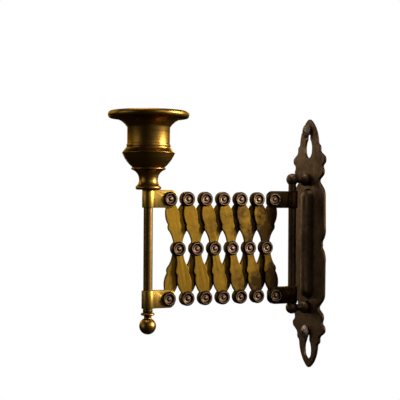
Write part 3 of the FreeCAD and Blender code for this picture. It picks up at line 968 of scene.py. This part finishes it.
@dataclass
class WallUnit(SubAssembly):
    """Wall plate with its rib and keyholes, posts, rear rod and screws, in millimetres.

    The plate's outline is the same in all four quarters, and is given for the upper right one.
    """

    body: str = "wall"
    thick: float = 1.6
    bevel: float = 0.45
    steep: float = 80.0
    rib_radius: float = 6.0
    rib_half_length: float = 34.5
    rib_lap: float = 0.6
    keyholes: Span = (57.5, -67.0)
    keyhole_radius: float = 4.6
    slot_half: float = 2.45
    slot_rise: float = 12.0
    slot_length: float = 5.0
    post_ball: float = 3.75
    post_neck: float = 2.1
    post_base: float = 3.4
    post_base_height: float = 5.0
    post_tail: float = 1.6
    tail_head: float = 2.2
    tail_low: float = 0.05
    tail_high: float = 0.7
    rod_reach: float = 12.6
    quarter: Outline = (
        (16.6, 0.0), (17.6, 3.2, -0.4), (19.8, 11.0, 0.25),
        (19.5, 30.0), (17.0, 34.6, 0.2), (13.6, 37.5),
        (13.6, 39.8, -0.45), (17.2, 42.0), (17.5, 46.2, 0.42),
        (18.6, 49.0, -0.5), (18.3, 54.0, 0.66), (15.2, 55.7),
        (13.9, 57.6, -0.25), (13.9, 59.2), (12.0, 61.0, 0.25),
        (11.1, 63.2, -0.25), (1.5, 76.6, 0.23), (0.0, 77.0, 0.12),
    )

    def build(self) -> None:
        """Build and dress everything that stays on the wall."""
        # The plate's walls take the darker copy that paints shade
        self.dress("wall_plate", self.shop.mark_walls(self.plate(), Y_AXIS, self.steep), DARK, PLATE_WALL_SHADE)
        for node in ("upper_post", "lower_post"):
            self.dress(node, self.post(node), DARK)
        self.dress("rear_rod", self.rod(), DARK_ROD)
        self.dress("mounting_screws", self.screws(), SCREW)

    def plate(self) -> Mesh:
        """The pressed plate, cut to its scrolled outline.

        Returns:
            Its mesh.
        """
        plane = Plane(Vector((0.0, -self.thick * MM, 0.0)), X_AXIS, Z_AXIS)
        holes = [self.keyhole(level) for level in self.keyholes] + [self.rib_hole()]
        shape = self.shop.cut_out(plane, whole_outline(self.quarter), holes, self.thick, self.bevel,
                                  both_sides=False)
        join(shape, self.rib())
        return shape

    def rib_hole(self) -> list[Corner]:
        """Corners of the gap under the rib, which laps over its edge.

        Returns:
            Its corners.
        """
        reach, half = self.rib_radius - self.rib_lap, self.rib_half_length - self.rib_lap
        return [
            (reach, -half + reach, bow_of(90)),
            (reach, half - reach),
            (0.0, half, bow_of(90)),
            (-reach, half - reach, bow_of(90)),
            (-reach, -half + reach),
            (0.0, -half, bow_of(90)),
        ]

    def keyhole(self, level: float) -> list[Corner]:
        """Corners of a keyhole whose round part is at a level.

        Args:
            level: Height of the middle of its round part.

        Returns:
            Its corners.
        """
        slot = level + self.slot_rise
        return [
            (self.keyhole_radius, level, bow_of(180)),
            (self.slot_half, slot - self.slot_length, 0.25),
            (self.slot_half, slot),
            (-self.slot_half, slot, bow_of(180)),
            (-self.slot_half, slot - self.slot_length),
            (-self.keyhole_radius, level, 0.25),
        ]

    def rib(self) -> Mesh:
        """The hollow rib that is pressed up the middle of the plate.

        Returns:
            Its mesh.
        """
        shape = bmesh.new()
        trace = Trace(shape, Plane(Vector(), X_AXIS, Z_AXIS))
        for shrink in (0.0, self.thick):
            radius, half = self.rib_radius - shrink, self.rib_half_length - shrink
            trace.chain([(0.0, -half), (radius, radius - half, bow_of(90)), (radius, half - radius),
                         (0.0, half, bow_of(90))])
        bmesh.ops.spin(shape, geom=shape.verts[:] + shape.edges[:], cent=Vector(), axis=Z_AXIS,
                       angle=-math.pi, steps=self.shop.segments // 2)
        bmesh.ops.remove_doubles(shape, verts=shape.verts, dist=MERGE)
        bmesh.ops.triangle_fill(shape, use_beauty=True, normal=Y_AXIS, edges=open_edges(shape))
        return self.shop.closed(shape)

    def post(self, node: str) -> Mesh:
        """A turned post with a riveted tail, a domed base, a neck and a ball.

        Args:
            node: Solid that it stands for.

        Returns:
            Its mesh.
        """
        low, high = box_of(node)
        spread = math.degrees(math.acos(self.post_neck / self.post_ball))
        neck_end = self.rod_reach - self.post_ball * math.sin(math.radians(spread))
        return self.shop.turn(Plane(Vector((0.0, 0.0, (low.z + high.z) / 2)), X_AXIS, -Y_AXIS), [
            (0.0, self.tail_low),
            (self.tail_head, self.tail_low),
            (self.post_tail, self.tail_high),
            (self.post_tail, self.thick),
            (self.post_base, self.thick),
            (self.post_neck, self.thick + self.post_base_height, 0.45),
            (self.post_neck, neck_end),
            (self.post_ball, self.rod_reach, bow_of(spread)),
            (0.0, self.rod_reach + self.post_ball, bow_of(90)),
        ])

    def rod(self) -> Mesh:
        """The upright rod between the posts' balls.

        Returns:
            Its mesh.
        """
        low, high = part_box("rear_rod")
        radius, length = (high[0] - low[0]) / 2 / MM, (high[2] - low[2]) / MM
        profile = [(0.0, 0.0), (radius, 0.0), (radius, length), (0.0, length)]
        return self.shop.turn(self.axis_plane("rear_rod"), profile)

    def screws(self) -> Mesh:
        """Both screws, with a cross cut in each head and a thread behind.

        Returns:
            Their mesh.
        """
        made = bmesh.new()
        for level in self.keyholes:
            join(made, CrossScrew().shape(self.shop, Vector((0.0, 0.0, (level + self.slot_rise) * MM))))
        return made


@dataclass
class Link(SubAssembly):
    """One link of the scissor, with the rivets that it carries, in millimetres and degrees."""

    finish: AgedBrass = FRONT_LINK
    rivets: int = 0
    lean: float = LINK_LEAN
    half: float = 29.8
    boss: float = 4.4
    end_neck: float = 2.6
    middle_neck: float = 2.4
    cusp: Span = (3.6, 15.2)
    bump: Span = (3.5, 11.0)
    hole: float = 1.55
    bevel: float = 0.32
    steep: float = 70.0

    def build(self) -> None:
        """Build and dress the link and its rivets."""
        # The walls of the link and of its rivets take darker copies that paint shade
        self.dress(self.body, self.shop.mark_walls(self.plate(), X_AXIS, self.steep), self.finish, LINK_WALL_SHADE)
        if self.rivets:
            node = self.body.replace("front_link", "link_rivets")
            self.dress(node, RivetHead().shape(self.shop, node, self.rivets), RIVET, RIVET_WALL_SHADE)

    def plate(self) -> Mesh:
        """The link, cut to an outline of three bosses and cusped lobes.

        Returns:
            Its mesh.
        """
        low, high = box_of(self.body)
        middle = (low + high) / 2
        turn = Matrix.Rotation(math.radians(self.lean), 3, "X")
        plane = Plane(Vector((high.x, middle.y, middle.z)), turn @ Y_AXIS, turn @ Z_AXIS)
        holes = [ring(0.0, level, self.hole) for level in (-self.half, 0.0, self.half)]
        return self.shop.cut_out(plane, whole_outline(self.quarter()), holes, (high.x - low.x) / MM,
                                 self.bevel, both_sides=True)

    def quarter(self) -> list[Corner]:
        """A quarter of the outline, from the middle boss to the end.

        Returns:
            Its corners.
        """
        neck = math.degrees(math.acos(self.middle_neck / self.boss))
        end = math.degrees(math.acos(self.end_neck / self.boss))
        return [
            (self.boss, 0.0),
            (self.middle_neck, self.boss * math.sin(math.radians(neck)), bow_of(neck)),
            (*self.bump, -0.12),
            (*self.cusp, 0.32),
            (self.end_neck, self.half - self.boss * math.sin(math.radians(end)), 0.22),
            (0.0, self.half + self.boss, bow_of(90 + end)),
        ]


@dataclass
class Clip(SubAssembly):
    """A strip folded round a rod, with its rivet.

    Args:
        corner_round: How far the corners of its leaves are rounded, in millimetres.
        corner_steps: Steps round such a corner.
        corner_turns: Least and greatest turn of the outline at such a corner.
        straight: Least share of an edge's direction that lies across the strip's thickness.
        flat: Angle up to which neighbouring faces of the solid count as one.
    """

    corner_round: float = 1.1
    corner_steps: int = 5
    corner_turns: Span = (0.5, 1.1)
    straight: float = 0.99
    flat: float = math.radians(0.4)

    def build(self) -> None:
        """Build and dress the clip and its rivet."""
        self.dress(self.body, self.strip(), CLIP)
        rivet = f"{self.body}_rivet"
        # The rivet's walls take the darker copy that paints shade
        self.dress(rivet, RivetHead().shape(self.shop, rivet, 1), RIVET, RIVET_WALL_SHADE)

    def strip(self) -> Mesh:
        """A copy of the folded solid with the corners of its leaves rounded.

        Returns:
            Its mesh.
        """
        shape = bmesh.new()
        shape.from_mesh(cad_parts[self.body].data)
        bmesh.ops.remove_doubles(shape, verts=shape.verts, dist=2 * MERGE)
        bmesh.ops.dissolve_limit(shape, angle_limit=self.flat, verts=shape.verts, edges=shape.edges)
        corners = [edge for edge in shape.edges if edge.is_manifold and self.is_leaf_corner(edge)]
        return self.shop.ease(self.shop.bevelled(shape, corners, self.corner_round, self.corner_steps))

    def is_leaf_corner(self, edge: Edge) -> bool:
        """Whether an edge crosses the strip's thickness at a corner of a leaf.

        Args:
            edge: Edge of the strip.

        Returns:
            True where it does.
        """
        along = (edge.verts[1].co - edge.verts[0].co).normalized()
        least, most = self.corner_turns
        return abs(along.x) > self.straight and least < edge.calc_face_angle(0.0) < most


@dataclass
class CupBase:
    """Lower half of the cup: radii, and levels above its foot, in millimetres."""

    hole_top: float = 8.0
    foot: float = 6.66
    foot_top: float = 2.4
    waist: float = 5.5
    waist_level: float = 6.0
    ridge: float = 9.6
    ridge_low: float = 11.6
    ridge_high: float = 12.8
    ridge_step: float = 0.3
    belly: float = 15.3
    belly_low: float = 21.2
    belly_high: float = 21.7
    shoulder: float = 13.4
    shoulder_level: float = 23.9
    lip: float = 13.15
    lip_level: float = 24.35
    well: float = 12.3
    well_level: float = 20.3
    sump: float = 10.0
    sump_level: float = 16.5
    ease: float = 0.1

    def profile(self, hole: float) -> list[Corner]:
        """Profile from the tenon's hole round the outside to the well.

        Args:
            hole: Radius of the hole.

        Returns:
            Corners of radius and level.
        """
        beside_ridge = self.ridge - self.ridge_step
        return [
            (0.0, self.hole_top),
            (hole, self.hole_top),
            (hole, 0.0),
            (self.foot, 0.0),
            (self.foot, self.foot_top, 0.7),
            (self.waist, self.waist_level, -0.2),
            (beside_ridge, self.ridge_low - self.ease, -0.3),
            (self.ridge, self.ridge_low),
            (self.ridge, self.ridge_high, 0.8),
            (beside_ridge, self.ridge_high + self.ease),
            (self.belly, self.belly_low, 0.13),
            (self.belly - self.ease, self.belly_high, 0.5),
            (self.shoulder, self.shoulder_level),
            (self.lip, self.lip_level, 0.3),
            (self.well, self.lip_level),
            (self.well, self.well_level),
            (self.sump, self.well_level),
            (self.sump, self.sump_level),
            (0.0, self.sump_level),
        ]


@dataclass
class CandleSocket:
    """Upper half of the cup with its drip pan: radii, and levels above the cup's foot, in millimetres.

    The insets of the pan are measured from its edge, and the bead from the tube.
    """

    bore: float = 11.3
    mouth: float = 1.2
    spigot: float = 12.2
    spigot_low: float = 20.4
    seat: float = 24.4
    tube: float = 12.45
    bead: float = 0.4
    bead_low: Span = (24.8, 25.0)
    bead_high: Span = (26.3, 26.6)
    flare_low: float = 36.0
    pan: float = 23.7
    rim_round: float = 0.9
    rim_low: float = 41.6
    rim_top: float = 45.2
    rim_inset: float = 1.9
    wall_inset: float = 2.2
    wall_low: float = 43.3
    floor_inset: float = 2.8
    floor: float = 42.9

    def profile(self) -> list[Corner]:
        """Closed profile from the spigot up the outside, over the pan's rim and down the bore.

        Returns:
            Corners of radius and level.
        """
        proud, edge = self.tube + self.bead, self.pan - self.rim_round
        return [
            (self.bore, self.spigot_low),
            (self.spigot, self.spigot_low),
            (self.spigot, self.seat),
            (self.tube, self.seat),
            (self.tube, self.bead_low[0]),
            (proud, self.bead_low[1], 0.3),
            (proud, self.bead_high[0]),
            (self.tube, self.bead_high[1], 0.3),
            (self.tube, self.flare_low),
            (edge, self.rim_low, -0.28),
            (edge, self.rim_top, 0.5),
            (self.pan - self.rim_inset, self.rim_top, 0.08),
            (self.pan - self.wall_inset, self.wall_low, -0.1),
            (self.pan - self.floor_inset, self.floor, -0.3),
            (self.bore + self.mouth, self.floor),
            (self.bore, self.floor - self.mouth, 0.41),
        ]


@dataclass
class Finial:
    """Finial under the front rod: radii, and levels from the top of its collar, in millimetres."""

    ball: float = 4.9
    neck: float = 2.2
    neck_low: float = -5.0
    neck_high: float = -3.8
    bead: float = 3.4
    bead_low: float = -3.2
    bead_high: float = -1.75
    groove: float = 2.6
    groove_level: float = -1.5
    collar: float = 2.9
    collar_low: float = -0.9
    hole_low: float = -2.8

    def profile(self, hole: float) -> list[Corner]:
        """Profile from the ball's lowest point up the outside to the tenon's hole.

        Args:
            hole: Radius of the hole.

        Returns:
            Corners of radius and level.
        """
        spread = math.degrees(math.acos(self.neck / self.ball))
        centre = self.neck_low - self.ball * math.sin(math.radians(spread))
        return [
            (0.0, centre - self.ball),
            (self.ball, centre, bow_of(90)),
            (self.neck, self.neck_low, bow_of(spread)),
            (self.neck, self.neck_high, -0.1),
            (self.bead, self.bead_low, -0.3),
            (self.bead, self.bead_high, 0.85),
            (self.groove, self.groove_level, -0.3),
            (self.collar, self.collar_low),
            (self.collar, 0.0),
            (hole, 0.0),
            (hole, self.hole_low),
            (0.0, self.hole_low),
        ]


@dataclass
class CandleUnit(SubAssembly):
    """Cup with its drip pan, front rod and finial, in millimetres."""

    body: str = "candle"
    tenon: float = 1.7
    tenon_gap: float = 0.02

    def build(self) -> None:
        """Build and dress everything that turns with the candle."""
        hole = self.tenon + self.tenon_gap
        foot_z, collar_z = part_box("cup_base")[0][2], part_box("rod_finial")[1][2]
        base = self.shop.turn(self.axis_plane("cup_base"), CupBase().profile(hole))
        self.dress("cup_base", self.shop.ease(base), CUP)
        socket_plane = self.axis_plane("candle_socket", foot_z)
        self.dress("candle_socket", self.shop.turn(socket_plane, CandleSocket().profile(), closed=True), CUP)
        self.dress("front_rod", self.rod(foot_z, collar_z), ROD)
        finial_plane = self.axis_plane("rod_finial", collar_z)
        self.dress("rod_finial", self.shop.turn(finial_plane, Finial().profile(hole)), CUP)

    def rod(self, foot_z: float, collar_z: float) -> Mesh:
        """The rod between the finial and the cup, with a tenon at each end.

        Args:
            foot_z: Height of the cup's foot.
            collar_z: Height of the top of the finial's collar.

        Returns:
            Its mesh.
        """
        low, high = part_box("front_rod")
        radius = (high[0] - low[0]) / 2 / MM
        collar, foot, top = ((level - low[2]) / MM for level in (collar_z, foot_z, high[2]))
        lower = [(0.0, 0.0), (self.tenon, 0.0), (self.tenon, collar), (radius, collar)]
        upper = [(radius, foot), (self.tenon, foot), (self.tenon, top), (0.0, top)]
        return self.shop.turn(self.axis_plane("front_rod"), lower + upper)


@dataclass(frozen=True)
class SoftBox:
    """One soft studio light.

    Args:
        name: Name of the light.
        place: Where it stands, in metres.
        width: Width of its face.
        height: Height of its face.
        power: Power in watts.
        spread: How far its grid lets the light spread.
    """

    name: str
    place: Triple
    width: float
    height: float
    power: float
    spread: float = math.radians(60.0)

    def build(self, aim: Vector) -> bpy.types.Object:
        """Stand the light up and turn it to the object.

        Args:
            aim: Point that it faces.

        Returns:
            The light.
        """
        lamp = bpy.data.lights.new(self.name, "AREA")
        lamp.shape = "RECTANGLE"
        lamp.size = self.width
        lamp.size_y = self.height
        lamp.energy = self.power
        lamp.spread = self.spread
        made = bpy.data.objects.new(self.name, lamp)
        made.location = self.place
        made.rotation_euler = (aim - made.location).to_track_quat("-Z", "Y").to_euler()
        bpy.context.scene.collection.objects.link(made)
        return made


@dataclass
class Studio:
    """Floor, light and camera round the object.

    Args:
        camera_place: Where the camera stands, in metres.
        heading: Which way it looks, from +Y round to -X.
        roll: How far it leans.
        lens: Its focal length in millimetres.
        sensor: Width of its sensor in millimetres.
        nearest: Nearest distance that it sees.
        floor_z: Height of the floor.
        floor_radius: Radius of the floor.
        floor_paint: Grey of its paint.
        floor_matt: Roughness of its paint.
        floor_glow: Strength of its own light.
        felt: Tint of the dim light from all round.
        glow: Strength of that light.
        aim: Point that the lights face.
        lights: The soft boxes.
    """

    camera_place: Triple = (0.51295, -0.27955, 0.02658)
    heading: float = math.radians(68.157)
    roll: float = math.radians(0.31)
    lens: float = 83.9
    sensor: float = 36.0
    nearest: float = 0.01
    floor_z: float = -0.90
    floor_radius: float = 0.9
    floor_paint: float = 0.86
    floor_matt: float = 0.9
    floor_glow: float = 0.7
    felt: Colour = (1.0, 0.98, 0.95)
    glow: float = 0.02
    aim: Vector = field(default_factory=lambda: Vector((0.0, -0.05, 0.01)))
    lights: tuple[SoftBox, ...] = (
        SoftBox("link_light", (0.62, 0.11, 0.25), 0.24, 0.32, 0.065),
        SoftBox("cup_light", (0.30, 0.51, 0.18), 0.20, 0.18, 1.7),
        SoftBox("plate_light", (-0.78, -0.14, 0.12), 0.14, 0.5, 0.075),
        SoftBox("side_light", (0.02, -0.88, 0.12), 0.6, 0.5, 0.14),
        SoftBox("left_light", (-0.65, -0.55, 0.30), 0.5, 0.5, 0.2),
        SoftBox("back_light", (-0.60, 0.30, 0.22), 0.3, 0.3, 0.28),
        SoftBox("top_light", (-0.05, -0.15, 0.80), 0.6, 0.6, 0.8),
    )

    def build(self) -> None:
        """Set up everything round the object."""
        self.lay_floor()
        self.light_room()
        for light in self.lights:
            light.build(self.aim)
        self.stand_camera()

    def lay_floor(self) -> None:
        """Lay a round pale floor under the object, which the brass doesn't mirror."""
        shape = bmesh.new()
        bmesh.ops.create_circle(shape, cap_ends=True, segments=Workshop.segments, radius=self.floor_radius,
                                matrix=Matrix.Translation((0.0, self.aim.y, self.floor_z)))
        floor = plain_object("floor", shape)
        pale = bpy.data.materials.new("floor_paint")
        pale.use_nodes = True
        shader = pale.node_tree.nodes["Principled BSDF"]
        shader.inputs["Base Color"].default_value = (*[self.floor_paint] * 3, 1.0)
        shader.inputs["Roughness"].default_value = self.floor_matt
        shader.inputs["Emission Color"].default_value = (*WHITE, 1.0)
        shader.inputs["Emission Strength"].default_value = self.floor_glow
        floor.data.materials.append(pale)
        floor.visible_glossy = False
        floor.visible_diffuse = False

    def light_room(self) -> None:
        """Give the room white walls to look at and dim light to reflect."""
        world = bpy.data.worlds.new("studio_room")
        world.use_nodes = True
        tree = world.node_tree
        seen = tree.nodes["Background"]
        felt = tree.nodes.new("ShaderNodeBackground")
        for node, tint, strength in ((seen, WHITE, 1.0), (felt, self.felt, self.glow)):
            node.inputs["Color"].default_value = (*tint, 1.0)
            node.inputs["Strength"].default_value = strength
        path = tree.nodes.new("ShaderNodeLightPath")
        both = tree.nodes.new("ShaderNodeMixShader")
        tree.links.new(path.outputs["Is Camera Ray"], both.inputs["Fac"])
        tree.links.new(felt.outputs["Background"], both.inputs[1])
        tree.links.new(seen.outputs["Background"], both.inputs[2])
        tree.links.new(both.outputs["Shader"], tree.nodes["World Output"].inputs["Surface"])
        scene = bpy.context.scene
        scene.world = world
        scene.view_settings.view_transform = "Standard"
        scene.view_settings.look = "None"

    def stand_camera(self) -> None:
        """Stand the camera where the photograph was taken from."""
        data = bpy.data.cameras.new("camera")
        data.lens = self.lens
        data.sensor_width = self.sensor
        data.clip_start = self.nearest
        camera = bpy.data.objects.new("camera", data)
        level = Matrix.Rotation(self.heading, 3, "Z") @ Matrix.Rotation(math.radians(90.0), 3, "X")
        leaned = level @ Matrix.Rotation(self.roll, 3, "Z")
        camera.rotation_euler = leaned.to_euler()
        camera.location = self.camera_place
        bpy.context.scene.collection.objects.link(camera)
        bpy.context.scene.camera = camera


def sub_assemblies() -> list[SubAssembly]:
    """The sub-assemblies: wall, candle, links and clips.

    Returns:
        One for each body of the model.
    """
    found: list[SubAssembly] = [WallUnit(), CandleUnit()]
    for cell in range(1, CELLS + 1):
        # The rivet of a clip holds the outer end of the first and of the last front link
        rivets = 2 if cell in (1, CELLS) else 3
        found.append(Link(f"front_link_{cell}", finish=FRONT_LINK, rivets=rivets))
        found.append(Link(f"rear_link_{cell}", finish=REAR_LINK, lean=-LINK_LEAN))
    for clip in ("rear_lower_clip", "rear_upper_clip", "front_upper_clip", "front_lower_clip"):
        found.append(Clip(clip))
    return found


def main() -> None:
    """Build the studio and every sub-assembly."""
    logging.basicConfig(level=logging.INFO, format="%(name)s: %(message)s")
    Studio().build()
    for part in sub_assemblies():
        part.build()


if __name__ == "__main__":
    main()
